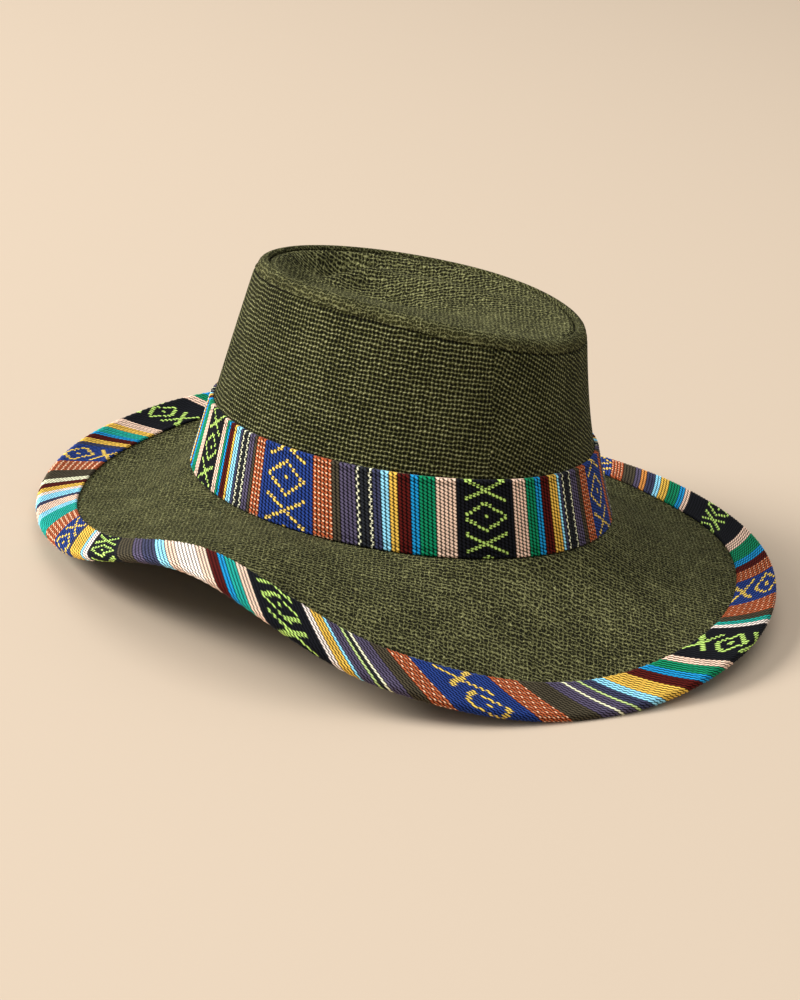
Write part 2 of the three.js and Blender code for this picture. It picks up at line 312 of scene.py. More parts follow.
# The olive cloth.
def hemp_cloth(name, look):
    """Hemp in a coarse open plain weave, dyed olive and matt. The eye sees rows of uneven threads with a
    light knot at each crossing, dark holes between them, and short curled fibres that catch the light. The
    height is the highest of weft, warp and knot, each a parabola about its middle, and the colour follows
    the height, so the holes are painted shade and the knots and curled fibres painted highlights. Along
    the seams a mark darkens the colour further, as painted shade in their grooves. A noise's scale is
    about how many of its features lie in a metre: 1700 gives fibres of 0.6 mm, 520 curls of 2 mm and 40
    patches of 25 mm."""
    material, tree = new_material(name)
    pitch = WEAVE_PITCH * MM

    def calc(operation, *values, clamp=False):
        settings = {"operation": operation, "use_clamp": clamp}
        links = {}
        for i, value in enumerate(values):
            (settings if isinstance(value, (int, float)) else links)[i] = value
        return node(tree, "ShaderNodeMath", settings, links).outputs[0]

    def noise(scale, detail, at, distortion=0.0):
        settings = {"Scale": scale, "Detail": detail, "Distortion": distortion}
        return node(tree, "ShaderNodeTexNoise", settings, {"Vector": at})

    # Places on the cloth, drawn a little out of true, and counted in threads.
    uv = node(tree, "ShaderNodeUVMap", {"uv_map": "Cloth"}).outputs[0]
    drift = node(
        tree, "ShaderNodeVectorMath", {"operation": "SUBTRACT", 1: (0.5, 0.5, 0.5)},
        {0: noise(look["drift_scale"], 2.0, uv).outputs[1]},
    )
    drawn = node(
        tree, "ShaderNodeVectorMath", {"operation": "MULTIPLY_ADD", 1: (look["drift"] * pitch,) * 3},
        {0: drift.outputs[0], 2: uv},
    )
    threads = node(
        tree, "ShaderNodeVectorMath", {"operation": "SCALE", "Scale": 1 / pitch}, {0: drawn.outputs[0]}
    ).outputs[0]
    split = node(tree, "ShaderNodeSeparateXYZ", None, {0: threads})
    across = calc("WRAP", split.outputs[0], -0.5, 0.5)
    along = calc("WRAP", split.outputs[1], -0.5, 0.5)

    # Each thread's thickness wanders along its length, so that it has slubs.
    slubs = []
    for stretch in ((0.12, 1.0, 1.0), (1.0, 0.12, 1.0)):
        longwise = node(tree, "ShaderNodeMapping", {"Scale": stretch}, {0: threads})
        slubs.append(calc("SUBTRACT", noise(1.0, 2.0, longwise.outputs[0]).outputs[0], 0.5))
    knot_size = calc("SUBTRACT", noise(0.8, 2.0, threads).outputs[0], 0.5)

    def thread(position, half_width, slub, height):
        aside = calc("DIVIDE", position, half_width)
        rounded = calc("SUBTRACT", height, calc("MULTIPLY", aside, aside))
        return calc("MULTIPLY_ADD", slub, 1.3, rounded)

    weft = thread(along, look["weft"], slubs[0], look["weft_height"])
    warp = thread(across, look["warp"], slubs[1], look["warp_height"])
    slanted = calc("DIVIDE", calc("MULTIPLY_ADD", along, 0.5, across), look["knot"] * 1.3)
    level = calc("DIVIDE", along, look["knot"])
    distance = calc("ADD", calc("MULTIPLY", slanted, slanted), calc("MULTIPLY", level, level))
    near = calc("SUBTRACT", 1.0, distance)
    knot = calc("MULTIPLY_ADD", knot_size, 1.8, calc("ADD", near, 0.1))
    height = calc("MAXIMUM", calc("MAXIMUM", weft, warp), calc("MAXIMUM", knot, -0.4))

    # Curled fibres are thin lines where a slow noise passes its middle value, kept where another is high.
    # They raise the height, so they are bumps and also painted highlights in the colour.
    fibre = calc("SUBTRACT", noise(1700.0, 3.0, uv).outputs[0], 0.5)
    curls = calc("ABSOLUTE", calc("SUBTRACT", noise(520.0, 1.0, uv, 1.2).outputs[0], 0.5))
    curl_line = calc("SUBTRACT", 1.0, calc("DIVIDE", curls, 0.035), clamp=True)
    curl_place = calc("MULTIPLY_ADD", noise(900.0, 1.0, uv).outputs[0], 5.0, -2.2, clamp=True)
    curl = calc("MULTIPLY", curl_line, curl_place)
    fuzzy = calc("MULTIPLY_ADD", fibre, look["fuzz"], height)
    fuzzy = calc("MULTIPLY_ADD", curl, look["curl"], fuzzy)

    patches = calc("SUBTRACT", noise(40.0, 3.0, uv).outputs[0], 0.5)
    # The colour follows the height: painted shade in the holes, painted highlights on the knots and the
    # curled fibres.
    tone = calc("MULTIPLY_ADD", patches, 0.35, calc("MULTIPLY_ADD", fuzzy, look["contrast"], look["level"]))
    # Along the seams the seam mark darkens the tone: painted shade in their grooves.
    seam = node(tree, "ShaderNodeAttribute", {"attribute_name": "Seam"}).outputs["Fac"]
    tone = calc("MULTIPLY_ADD", seam, -0.25, tone)
    ramp = node(tree, "ShaderNodeValToRGB", None, {0: tone})
    stops = ramp.color_ramp.elements
    stops[0].position, stops[0].color = 0.0, linear(look["hole_shade"])
    stops[1].position, stops[1].color = 1.0, linear(look["lit"])
    middle = stops.new(0.5)
    middle.color = linear(look["thread"])
    bump = node(tree, "ShaderNodeBump", {"Strength": 1.0, "Distance": look["depth"]}, {"Height": fuzzy})
    shader = node(
        tree,
        "ShaderNodeBsdfPrincipled",
        {"Roughness": 0.95, "Sheen Weight": 0.02, "Sheen Roughness": 0.5, "Specular IOR Level": 0.05},
        {"Base Color": ramp.outputs[0], "Normal": bump.outputs[0]},
    )
    node(tree, "ShaderNodeOutputMaterial", None, {"Surface": shader.outputs[0]})
    return material


def striped_cloth(name):
    """Cotton stripes woven by hand, warp-faced, so that upright cords of small stitches cover the cloth.
    The eye sees beaded cords with dark furrows between them, and a matt, slightly hairy face. The thread's
    colour is scaled by how high the point stands on its cord, which paints shade in the furrows and
    highlights on the stitches, by fibres of 0.7 mm and by patches of 8 mm."""
    material, tree = new_material(name)
    thread = node(tree, "ShaderNodeAttribute", {"attribute_name": "Thread"})
    stitch_shading = node(tree, "ShaderNodeAttribute", {"attribute_name": "StitchShading"})
    place_on_hat = node(tree, "ShaderNodeTexCoord").outputs["Object"]
    fibre = node(tree, "ShaderNodeTexNoise", {"Scale": 1500.0, "Detail": 3.0}, {"Vector": place_on_hat})
    patches = node(tree, "ShaderNodeTexNoise", {"Scale": 120.0, "Detail": 2.0}, {"Vector": place_on_hat})
    # Painted shade in the furrows and painted highlights on the stitches: the stitch mark scales the colour
    # from 0.1 to 1.42.
    furrow = node(
        tree,
        "ShaderNodeMapRange",
        {"From Min": 0.12, "From Max": 0.42, "To Min": 0.1, "To Max": 1.42},
        {"Value": stitch_shading.outputs["Fac"]},
    )
    speck = node(
        tree,
        "ShaderNodeMapRange",
        {"From Min": 0.3, "From Max": 0.7, "To Min": 0.82, "To Max": 1.16},
        {"Value": fibre.outputs[0]},
    )
    patch = node(
        tree,
        "ShaderNodeMapRange",
        {"From Min": 0.3, "From Max": 0.7, "To Min": 0.9, "To Max": 1.1},
        {"Value": patches.outputs[0]},
    )
    shade = node(
        tree, "ShaderNodeMath", {"operation": "MULTIPLY"}, {0: furrow.outputs[0], 1: speck.outputs[0]}
    )
    shade_all = node(
        tree, "ShaderNodeMath", {"operation": "MULTIPLY"}, {0: shade.outputs[0], 1: patch.outputs[0]}
    )
    colour = node(
        tree,
        "ShaderNodeVectorMath",
        {"operation": "SCALE"},
        {0: thread.outputs["Color"], "Scale": shade_all.outputs[0]},
    )
    bump = node(
        tree, "ShaderNodeBump", {"Strength": 0.6, "Distance": 0.0001}, {"Height": fibre.outputs[0]}
    )
    shader = node(
        tree,
        "ShaderNodeBsdfPrincipled",
        {"Roughness": 0.9, "Sheen Weight": 0.03, "Sheen Roughness": 0.4, "Specular IOR Level": 0.08},
        {"Base Color": colour.outputs[0], "Normal": bump.outputs[0]},
    )
    node(tree, "ShaderNodeOutputMaterial", None, {"Surface": shader.outputs[0]})
    return material


# How each place of the olive cloth looks. drift is how far the threads wander, weft, warp and knot are half
# widths, all counted in threads, and depth is the bump's height in metres. The hole colour is painted shade
# in the holes between threads, thread is the threads' own colour, and lit is the painted highlight on the
# knots and fibres. The brim and the rim are rubbed and fuzzy, and the crown's side shows its knots.
WEAVE_PITCH = 1.9  # from thread to thread
WALL_LOOK = {
    "drift": 1.0,
    "drift_scale": 220.0,
    "weft": 0.32,
    "weft_height": 0.5,
    "warp": 0.27,
    "warp_height": 0.38,
    "knot": 0.31,
    "fuzz": 1.1,
    "curl": 0.3,
    "contrast": 0.62,
    "level": 0.2,
    "depth": 0.0008,
    "hole_shade": "#0b0b03",
    "thread": "#494926",
    "lit": "#aead7c",
}
BRIM_LOOK = {
    "drift": 1.9,
    "drift_scale": 340.0,
    "weft": 0.27,
    "weft_height": 0.62,
    "warp": 0.2,
    "warp_height": 0.5,
    "knot": 0.2,
    "fuzz": 1.7,
    "curl": 1.8,
    "contrast": 0.64,
    "level": 0.29,
    "depth": 0.0009,
    "hole_shade": "#141407",
    "thread": "#504f2b",
    "lit": "#b2b078",
}
TOP_LOOK = BRIM_LOOK | {"weft": 0.3, "warp": 0.24, "knot": 0.27, "fuzz": 1.4, "curl": 0.9, "level": 0.24}
RIM_LOOK = BRIM_LOOK | {"drift": 2.2, "curl": 1.2, "contrast": 0.5, "level": 0.36}
wall_hemp = hemp_cloth("Hemp plain weave, crown", WALL_LOOK)
top_hemp = hemp_cloth("Hemp plain weave, top", TOP_LOOK)
rim_hemp = hemp_cloth("Hemp plain weave, rubbed rim", RIM_LOOK)
brim_hemp = hemp_cloth("Hemp plain weave, felted brim", BRIM_LOOK)
striped = striped_cloth("Hand-loomed striped cotton")


# The striped cloth. Widths in millimetres; the two panels are given as half of theirs.
THREADS = {
    "black": "#16171c",
    "dark": "#24262a",
    "lime": "#b2d26a",
    "royal": "#243b7c",
    "yellow": "#e3c05c",
    "peach": "#e6c4ac",
    "green": "#0f8258",
    "blue": "#1b8cc4",
    "maroon": "#50140f",
    "gold": "#dfb24a",
    "cyan": "#8ed2ea",
    "navy": "#3a3c55",
    "cream": "#e2e0bc",
    "limeline": "#b4c880",
    "purple": "#524a60",
    "charcoal": "#463f30",
    "rust": "#a8532f",
    "dot": "#f5c5a0",
    "teal": "#20a090",
    "white": "#ecdcd0",
    "orange": "#cf8742",
}
STANDARD = """peach 8.3, green 6.8, blue 4.3, maroon 5.2, gold 4.2, cyan 2.9, navy 3.6, cream 2.2, dark 3,
cream 2.2, purple 6.9, charcoal 4.8, rust 8.6"""
REVERSED = ", ".join(STANDARD.replace("\n", " ").split(", ")[::-1])
MOTIFS = {
    "black": {"thread": "lime", "half_width": 10, "diamond": 6.2, "cross": 4.6, "period": 23.7},
    "royal": {"thread": "yellow", "half_width": 9, "diamond": 7.6, "cross": 5.8, "period": 28.8},
}
CORD = 1.8
STITCH = 1.6
MOTIF_SHARE = 0.82  # the widest that a motif may be, of its panel
BAND_CORDS = 328
BAND_DEGREE = 1.62  # how wide a degree is on the band, and below on the binding
BAND_LINE = 1.6  # the width of a motif's line
BAND_MOTIF_WIDEST = 10
BINDING_CORDS = 520
BINDING_ROWS = 48
BINDING_DEGREE = 2.2
BINDING_LINE = 2.2
BINDING_MOTIF_WIDEST = 7
BIAS = math.radians(48)  # between the binding's stripes and the brim's edge

# The panels round the band: each one's middle and half width in degrees, the height of a diamond in it in
# millimetres, and the stripes from it to the next with their widths, which are stretched to fit.
BAND_PANELS = [
    {
        "angle": -8,
        "half": 7,
        "panel": "royal",
        "motif": 20,
        "stripes": """rust 4, charcoal 3, purple 3.4, cream 1.2, dark 1.2, cream 1.2, navy 1.3, cyan 1.9,
        gold 2.8, maroon 3, blue 2.5, green 3.5, peach 4.7""",
    },
    {
        "angle": 40.4,
        "half": 8.4,
        "panel": "black",
        "motif": 18.6,
        "stripes": """peach 8.6, green 5.7, blue 4.3, maroon 4.5, gold 4.2, cyan 2.9, navy 3.4, cream 1.8,
        dark 2.6, cream 1.8, purple 7.2, charcoal 4.5, rust 8.6""",
    },
    {
        "angle": 95,
        "half": 7.8,
        "panel": "royal",
        "motif": 21.6,
        "stripes": """rust 3.4, charcoal 1.6, purple 2.2, cream 1.2, dark 1.2, cream 1.2, navy 1.2, cyan 1.5,
        gold 1.9, maroon 1.5, blue 1.2, green 1.9, peach 2.2""",
    },
    {"angle": 129.5, "half": 5, "panel": "black", "motif": 18, "stripes": STANDARD},
    {"angle": 174, "half": 7, "panel": "royal", "motif": 19, "stripes": REVERSED},
    {"angle": 218.5, "half": 7.5, "panel": "black", "motif": 16, "stripes": STANDARD},
    {"angle": 263, "half": 7, "panel": "royal", "motif": 20, "stripes": REVERSED},
    {"angle": 307.5, "half": 7.5, "panel": "black", "motif": 19, "stripes": STANDARD},
]
# The same along the binding, with how many degrees a stripe leans between the edge and the upper lip. Its
# motif height is measured along the stripe from the edge.
BINDING_PANELS = [
    {
        "angle": 1,
        "half": 6,
        "panel": "black",
        "lean": 7,
        "motif": 11,
        "stripes": """peach 1.8, green 3, blue 2, maroon 3.5, gold 4, cyan 2, navy 2.6, limeline 0.8,
        purple 1.6, cream 0.8, purple 3.2, charcoal 5, rust 5""",
    },
    {
        "angle": 47,
        "half": 6,
        "panel": "royal",
        "lean": 7,
        "motif": 6,
        "stripes": """rust 4, charcoal 2.5, purple 3, cream 0.6, dark 0.8, limeline 0.6, purple 2, cyan 0.8,
        gold 2, white 2""",
    },
    {
        "angle": 75.4,
        "half": 4.7,
        "panel": "black",
        "lean": 6.5,
        "motif": 15,
        "stripes": """peach 2, teal 2, blue 1.5, maroon 2, peach 2, white 4, peach 1.5, cyan 2, navy 2.5,
        limeline 0.6, purple 1.4, cream 0.6, charcoal 3""",
    },
    {
        "angle": 111,
        "half": 4,
        "panel": "black",
        "lean": 8,
        "motif": 8,
        "stripes": "white 1.5, cyan 1, gold 4, navy 0.8",
    },
    {
        "angle": 124,
        "half": 3,
        "panel": "royal",
        "lean": 9.5,
        "motif": 5,
        "stripes": """rust 5, teal 4, cyan 2, peach 3, navy 1.5, cyan 2.4, white 1.5, gold 2, maroon 1.5,
        cream 2, charcoal 4, rust 4""",
    },
    {
        "angle": 166,
        "half": 4,
        "panel": "royal",
        "lean": 7,
        "motif": 9,
        "stripes": "navy 1.5, gold 2, maroon 2, blue 1.7, teal 2.6, gold 2, peach 2.6",
    },
    {"angle": 191.5, "half": 7.5, "panel": "black", "lean": 4.5, "motif": 10, "stripes": STANDARD},
    {"angle": 222, "half": 5, "panel": "royal", "lean": 7, "motif": 6, "stripes": REVERSED},
    {"angle": 252, "half": 5, "panel": "black", "lean": 7, "motif": 9, "stripes": STANDARD},
    {
        "angle": 282.5,
        "half": 3.5,
        "panel": "royal",
        "lean": 5,
        "motif": 9,
        "stripes": """rust 3, charcoal 2.5, purple 1.5, orange 1.5, navy 2.5, cyan 1.5, gold 2.5, green 3,
        blue 1.5, peach 1.5""",
    },
    {
        "angle": 314,
        "half": 8,
        "panel": "black",
        "lean": 7.5,
        "motif": 5,
        "stripes": "peach 3.5, green 4.5, blue 2, maroon 2.5, rust 3.5",
    },
    {
        "angle": 341.5,
        "half": 4.5,
        "panel": "royal",
        "lean": 9,
        "motif": 8,
        "stripes": "rust 4, charcoal 2, teal 1.5, white 1",
    },
]


def lay_out(panels):
    """Where each stripe starts, in degrees, and its thread's name: each panel, then the stripes between it
    and the next, stretched to fill the way between them."""
    starts, names = [], []
    for row, after in zip(panels, panels[1:] + panels[:1]):
        stripes = [stripe.split() for stripe in row["stripes"].split(",")]
        widths = np.array([float(width) for _, width in stripes])
        gap = (after["angle"] - row["angle"]) % 360 - row["half"] - after["half"]
        edges = row["angle"] + row["half"] + np.concatenate([[0], np.cumsum(widths)]) * gap / widths.sum()
        starts.extend([row["angle"] - row["half"], *edges[:-1]])
        names.extend([row["panel"], *(name for name, _ in stripes)])
    return np.array(starts), names


def colours_at(panels, degrees, along, degree_width, line, widest):
    """The thread's number at each place: degrees round the hat, and millimetres along the stripes.
    Diamonds and crosses are the places near a straight line's height over each panel's middle."""
    palette = list(THREADS)
    starts, names = lay_out(panels)
    wrapped = (degrees - starts[0]) % 360 + starts[0]
    numbers = np.array([palette.index(name) for name in names])
    result = numbers[np.searchsorted(starts, wrapped, side="right") - 1]
    for row in panels:
        motif = MOTIFS.get(row["panel"])
        if motif is None:
            continue
        aside = np.abs((wrapped - row["angle"] + 180) % 360 - 180) * degree_width
        half_width = min(widest, motif["half_width"], row["half"] * degree_width * MOTIF_SHARE)
        period = motif["period"]
        over = np.abs((along - row["motif"] + period / 2) % period - period / 2)
        reach = aside / half_width
        diamond = np.abs(over - motif["diamond"] * (1 - reach)) < line / 2
        cross = np.abs(period / 2 - over - motif["cross"] * reach) < line / 2
        dot = (over < line / 2) & (aside < CORD / 2)
        drawn = ((reach <= 1) & (diamond | cross)) | dot
        result = np.where(drawn, palette.index(motif["thread"]), result)
    return result


def thread_colours(numbers):
    """The linear colour of each numbered thread."""
    palette = np.array([linear(value) for value in THREADS.values()])
    return palette[numbers]


def stitch_relief(cord_step, row_step):
    """How high each point of the stitched cloth stands, from 0 in a furrow to 1 on top of a stitch: points
    are half a cord and half a stitch apart, and every other cord is shifted by half a stitch."""
    on_cord = cord_step % 2 == 1
    cord = cord_step // 2
    on_stitch = (row_step + cord) % 2 == 0
    return np.where(on_cord, np.where(on_stitch, 1.0, 0.2), np.where(on_stitch, 0.08, 0.0))


def detail_threads(numbers, cord_step, row_step, wavering):
    """Rust stripes carry rows of light dots, and on the band each fine line wavers from side to side."""
    palette = list(THREADS)
    rust = numbers == palette.index("rust")
    dots = (row_step % 3 == 0) & (cord_step % 2 == 0)
    numbers = np.where(rust & dots, palette.index("dot"), numbers)
    fine = (numbers == palette.index("cream")) | (numbers == palette.index("limeline"))
    away = (cord_step + row_step // 2) % 2 == 0
    return np.where(fine & away & wavering, palette.index("dark"), numbers)


# The band.
def make_band():
    """The band: the crown's wall moved out by the band's face and by the stitches' relief, in columns of half
    a cord that lean a little, most of all near the wearer's right."""
    columns = BAND_CORDS * 2
    rows = 2 * round(BAND_HEIGHT / STITCH)
    middle_degrees = np.arange(columns)[:, None] / columns * 360
    row = np.arange(rows + 1)[None, :]
    sloped = BAND_FOOT + row / rows * (BAND_HEIGHT - BAND_FOOT)
    # In degrees, at the band's upper edge.
    most_lean = 1 + np.exp(-(((middle_degrees - 80) / 22) ** 2))
    lean = most_lean * (sloped / (BAND_HEIGHT / 2) - 1)
    angle = np.radians(middle_degrees + lean)
    slope = np.radians(around(CROWN_TABLE, "taper", angle))
    relief = stitch_relief(np.arange(columns)[:, None], row)
    # Each edge is rounded, and a line of stitches sinks in beside it.
    hem = np.minimum(sloped - BAND_FOOT, BAND_HEIGHT - sloped)
    puff = 0.25 * smooth(hem / 0.8) - 0.3 * np.exp(-(((hem - 2.4) / 0.5) ** 2))
    lift = puff + 0.34 * (relief - 0.5) + unevenness(angle, sloped, 0.12, 3)
    up = sloped * np.cos(slope)
    outer = place(angle, wall_out(angle, up) + BAND_FACE + lift, up)
    back_up = up[:, [rows, rows // 2, 0]]
    back_angle = angle[:, [rows, rows // 2, 0]]
    back = place(back_angle, wall_out(back_angle, back_up) + BAND_FACE - BAND_THICKNESS, back_up)
    points = np.concatenate([outer, back], axis=1)
    faces = ring_faces(columns, points.shape[1])

    face_cord = np.arange(columns)[:, None]
    face_row = np.minimum(np.arange(points.shape[1])[None, :], rows - 1)
    along = (face_row + 0.5) / rows * BAND_HEIGHT
    degrees = (face_cord // 2 + 0.5) / BAND_CORDS * 360 + 0 * along
    numbers = colours_at(BAND_PANELS, degrees, along, BAND_DEGREE, BAND_LINE, BAND_MOTIF_WIDEST)
    numbers = detail_threads(numbers, face_cord, face_row, True)
    colour = np.repeat(thread_colours(numbers)[:, :, None], 4, axis=2)
    # The stitch mark paints shade in the furrows and highlights on the stitches, and it is lowered along the
    # sunk line of stitches beside each edge, as painted shade there; the back gets a middle value.
    stitched = relief * (1 - 0.6 * np.exp(-(((hem - 2.6) / 0.45) ** 2)))
    stitch_shading = np.concatenate([stitched, np.full((columns, 3), 0.5)], axis=1)
    piece = build(
        "hat_band_cloth",
        points.reshape(-1, 3),
        faces.tolist(),
        "hat_band",
        [striped],
        corner_colour=colour,
        marks={"StitchShading": stitch_shading},
    )


# The binding.
def make_binding():
    """The binding: a strip that lies under the brim's edge, folds round it in half a circle, and lies on it
    as far as its upper lip. Its cords lean across it, by degrees round the hat that each panel gives."""
    columns = BINDING_CORDS * 2
    roll_radius = EDGE_MIDDLE
    roll_length = math.pi * roll_radius
    upper_flat = BINDING_WIDTH - EDGE_MIDDLE
    lower_flat = BINDING_LOWER_WIDTH - EDGE_MIDDLE
    total = upper_flat + roll_length + lower_flat
    lean_per_mm = 1 / BINDING_WIDTH
    rows = BINDING_ROWS
    # From the lower lip's edge, round the fold, to the upper lip's.
    cloth = np.linspace(0, total, rows + 1)[None, :]
    turn = np.clip((cloth - lower_flat) / roll_length, 0, 1) * math.pi - math.pi / 2
    on_roll = (cloth > lower_flat) & (cloth < lower_flat + roll_length)
    flat_from_edge = np.where(
        cloth <= lower_flat, BINDING_LOWER_WIDTH - cloth, EDGE_MIDDLE + cloth - lower_flat - roll_length
    )
    edge_degrees = np.arange(columns)[:, None] / columns * 360
    panel_angles = np.array([row["angle"] for row in BINDING_PANELS], float)
    leans = np.array([row["lean"] for row in BINDING_PANELS], float)
    lean = np.interp(edge_degrees, panel_angles, leans, period=360)
    beyond_edge = cloth - lower_flat - roll_length / 2
    degrees = edge_degrees + lean * beyond_edge * lean_per_mm
    angle = np.radians(degrees)
    relief = stitch_relief(np.arange(columns)[:, None], np.arange(rows + 1)[None, :])
    hem = total - cloth
    puff = -0.5 * (1 - smooth(hem / 0.8)) - 0.15 * np.exp(-(((hem - 2.2) / 0.5) ** 2))
    lift = puff + 0.36 * (relief - 0.5) + unevenness(angle, cloth, 0.12, 5)
    radius = roll_radius + lift
    from_edge = np.where(on_roll, EDGE_MIDDLE - radius * np.cos(turn), flat_from_edge)
    above = GAP + BINDING_THICKNESS + lift
    flat_height = np.where(cloth <= lower_flat, -BRIM_THICKNESS - above, above)
    height = np.where(on_roll, radius * np.sin(turn) - BRIM_THICKNESS / 2, flat_height)
    outer = brim_columns(angle, from_edge, height)
    # The inner face, in five rows from the upper lip to the lower.
    inner_angle = angle[:, [rows, rows * 3 // 4, rows // 2, rows // 4, 0]]
    inner_from = np.array([BINDING_WIDTH, 8, 1.2, 8, BINDING_LOWER_WIDTH])[None, :]
    under = -BRIM_THICKNESS - GAP
    inner_height = np.array([GAP, GAP, -BRIM_THICKNESS / 2, under, under])[None, :]
    inner = brim_columns(inner_angle, inner_from, inner_height)
    points = np.concatenate([outer, inner], axis=1)
    faces = ring_faces(columns, points.shape[1])

    face_cord = np.arange(columns)[:, None]
    face_row = np.arange(points.shape[1])[None, :]
    middle_row = np.minimum(face_row, rows - 1)
    along_cloth = (middle_row + 0.5) / rows * total - lower_flat - roll_length / 2
    along = along_cloth / math.sin(BIAS)
    panel_degrees = (face_cord // 2 + 0.5) / BINDING_CORDS * 360
    middle_shift = np.interp(panel_degrees, panel_angles, leans, period=360) * 0.5
    degrees_there = panel_degrees + middle_shift + 0 * along
    along = along + 0 * panel_degrees
    numbers = colours_at(
        BINDING_PANELS, degrees_there, along, BINDING_DEGREE, BINDING_LINE, BINDING_MOTIF_WIDEST
    )
    numbers = detail_threads(numbers, face_cord, middle_row, False)
    colour = np.repeat(thread_colours(numbers)[:, :, None], 4, axis=2)
    # The stitch mark paints shade in the furrows and highlights on the stitches; the inner face gets a middle
    # value.
    stitch_shading = np.concatenate([relief, np.full((columns, inner.shape[1]), 0.5)], axis=1)
    piece = build(
        "brim_binding_cloth",
        points.reshape(-1, 3),
        faces.tolist(),
        "brim_binding",
        [striped],
        corner_colour=colour,
        marks={"StitchShading": stitch_shading},
    )


def brim_columns(angle, from_edge, height):
    """Brim points where the angle changes along each row too, worked out one row of the grid at a time."""
    angle, from_edge, height = np.broadcast_arrays(angle, from_edge, height)
    flat = [np.reshape(value, (-1, 1)) for value in (angle, from_edge, height)]
    return brim_points(*flat).reshape(*angle.shape, 3)


GRAIN_TURN = 60  # of the brim and the top, from straight across the hat


def turned_by(along, across, degrees):
    """Places of a plane, turned about its origin by cosine and sine."""
    cos, sin = math.cos(math.radians(degrees)), math.sin(math.radians(degrees))
    return np.stack([along * cos - across * sin, along * sin + across * cos], axis=-1)


def turned_plan(points):
    """Places seen from above, turned to lie along and across the grain."""
    return turned_by(points[..., 0], points[..., 1], GRAIN_TURN)


# The brim.
def make_brim():
    """The brim: its upper and lower faces, each as far from the fixed-length curve as its height, with a low
    ripple on the upper one that fades out at the binding and at the crown."""
    columns = RING_COLUMNS
    angle = np.arange(columns)[:, None] / columns * TURN
    run = brim_width(angle) - BRIM_START
    share = np.linspace(0, 1, 56)[None, :]
    under = np.linspace(0, 1, 24)[None, :]
    upper_from = EDGE_MIDDLE + (run - EDGE_MIDDLE) * share
    lower_from = EDGE_MIDDLE + (run - EDGE_MIDDLE) * (1 - under)
    fade = smooth((upper_from - BINDING_WIDTH) / 8) * smooth((run - upper_from) / 6)
    ripple = unevenness(angle, upper_from, 0.3, 8) * fade
    upper = brim_points(angle, upper_from, ripple)
    lower = brim_points(angle, lower_from, -BRIM_THICKNESS)
    tip = brim_points(angle, EDGE_MIDDLE - BRIM_THICKNESS / 2, -BRIM_THICKNESS / 2)
    points = np.concatenate([lower, tip, upper], axis=1)
    plan = turned_plan(points)
    plan = np.concatenate([plan, plan[:1]], axis=0)
    plan = np.concatenate([plan, plan[:, :1]], axis=1)
    piece = build(
        "brim_cloth",
        points.reshape(-1, 3),
        ring_faces(columns, points.shape[1]).tolist(),
        "brim",
        [brim_hemp],
        uv=ring_corners(plan),
    )


# The crown's side, cut as two panels that meet in upright seams. Each panel's grain is level at its middle
# angle but for its own turn.
SIDE_PANELS = [
    {"seam": 39.5, "middle": 75, "turn": -2},
    {"seam": 190, "middle": 10, "turn": -25},
]


CONE_LENGTH = 1400  # from the cone's point to the base
MEAN_RADIUS = 93  # of the base oval
RIM_ROWS = np.linspace(0.945, 1, 14)  # finer rows, for the groove of the topstitch


def panel_plan(angle, sloped, panel):
    """The side laid flat: a piece of a cone, so its places lie on arcs about the cone's point, and then
    turned. Steam has drawn the grain half straight, so the cone is a slimmer one than the wall."""
    arc = MEAN_RADIUS * (np.mod(angle - math.radians(panel["middle"]) + math.pi, TURN) - math.pi)
    turned = arc / CONE_LENGTH
    along = (CONE_LENGTH - sloped) * np.sin(turned)
    upward = CONE_LENGTH - (CONE_LENGTH - sloped) * np.cos(turned)
    return turned_by(along, upward, panel["turn"])


# The rim's fold, from the wall over the top and in: how far each place is out from the rim, and up.
RIM_FOLD = [
    (0.1, -4.4),
    (0.15, -3.4),
    (-0.45, -2.1),
    (-1.3, -1.15),
    (-2.4, -0.45),
    (-3.4, -0.1),
    (-4.2, -0.3),
    (-4.8, -1.1),
    (-5.0, -2.2),
]


